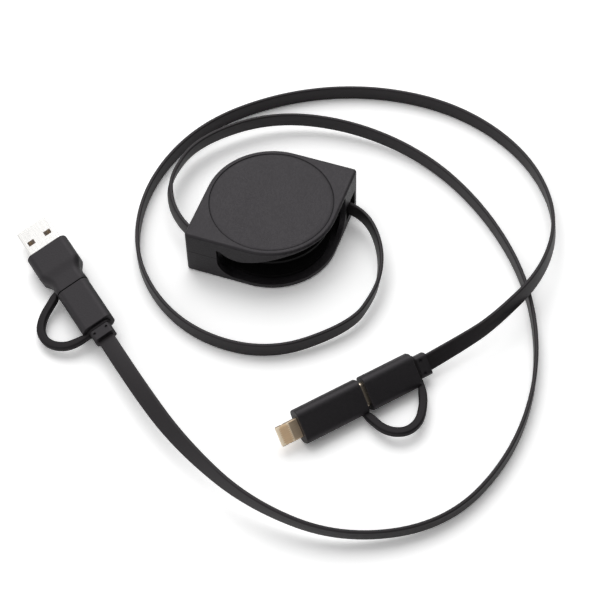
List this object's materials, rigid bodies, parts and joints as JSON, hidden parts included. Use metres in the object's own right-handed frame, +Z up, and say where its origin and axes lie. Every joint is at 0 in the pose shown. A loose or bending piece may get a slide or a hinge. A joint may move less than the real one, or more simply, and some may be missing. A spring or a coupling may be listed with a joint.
{
  "type": "retractable charging cable",
  "caption": "Leaf-shaped retractable reel with flat cables, each ending in a small oval plug under a tethered adapter.",
  "frame": {"origin": "middle of the case's underside", "axes": "+Z up out of the case's round top disc, +X and +Y square to the case's straight walls, with the kept corners on the diagonal of +X +Y"},
  "size_m": [0.182, 0.1795, 0.0185],
  "materials": {
    "case_plastic": "fine matte moulded plastic",
    "reel_plastic": "plain moulded plastic",
    "cable_skin": "smooth soft sheath",
    "strap": "soft rubber",
    "plug_plastic": "satin moulded plastic",
    "steel": "bright steel",
    "plug_metal": "nickel-plated steel",
    "blade": "satin metal",
    "insert": "moulded plastic",
    "gold": "gold-plated",
    "board": "circuit board"
  },
  "bodies": {
    "case": {"lower_shell": "case_plastic", "upper_shell": "case_plastic", "top_disc": "case_plastic", "centre_screw": "steel", "cable_a": "cable_skin", "cable_b": "cable_skin", "wide_strain_relief": "plug_plastic", "wide_plug_grip": "plug_plastic", "wide_plug_shell": "plug_metal", "wide_plug_insert": "insert", "wide_plug_contacts": "gold", "wide_plug_board": "board", "slim_strain_relief": "plug_plastic", "slim_plug_grip": "plug_plastic", "slim_plug_shell": "plug_metal", "slim_plug_insert": "insert", "slim_plug_contacts": "gold", "slim_plug_board": "board"},
    "spool": {"spool": "reel_plastic", "spring_cover": "reel_plastic", "power_spring": "steel", "wound_cable": "cable_skin"},
    "ratchet_ball": {"ratchet_ball": "steel"},
    "wide_adapter": {"wide_adapter_body": "plug_plastic", "wide_adapter_socket": "plug_metal", "wide_adapter_socket_tongue": "insert", "wide_adapter_board": "board", "wide_adapter_shell": "plug_metal", "wide_adapter_tongue": "insert", "wide_adapter_contacts": "gold", "wide_tether": "strap"},
    "slim_adapter": {"slim_adapter_body": "plug_plastic", "slim_adapter_socket": "plug_metal", "slim_adapter_socket_tongue": "insert", "slim_adapter_board": "board", "slim_adapter_blade": "blade", "slim_adapter_contacts": "gold", "slim_tether": "strap"}
  },
  "joints": [
    {"name": "spool_turn", "type": "hinge", "parent": "case", "child": "spool", "pos_m": [0, 0, 0], "axis": [0, 0, 1], "range_deg": [0, 1600], "deforming": ["power_spring"]},
    {"name": "ratchet_slide", "type": "slide", "parent": "case", "child": "ratchet_ball", "axis": [1, 0, 0], "range_m": [-0.001, 0.001]},
    {"name": "wide_adapter_pull", "type": "slide", "parent": "case", "child": "wide_adapter", "axis": [-0.767, 0.6414, -0.0175], "range_m": [0, 0.012], "deforming": ["wide_tether"]},
    {"name": "slim_adapter_pull", "type": "slide", "parent": "case", "child": "slim_adapter", "axis": [-0.6346, -0.7726, 0.0175], "range_m": [-0.0014, 0.012], "deforming": ["slim_tether"]}
  ]
}
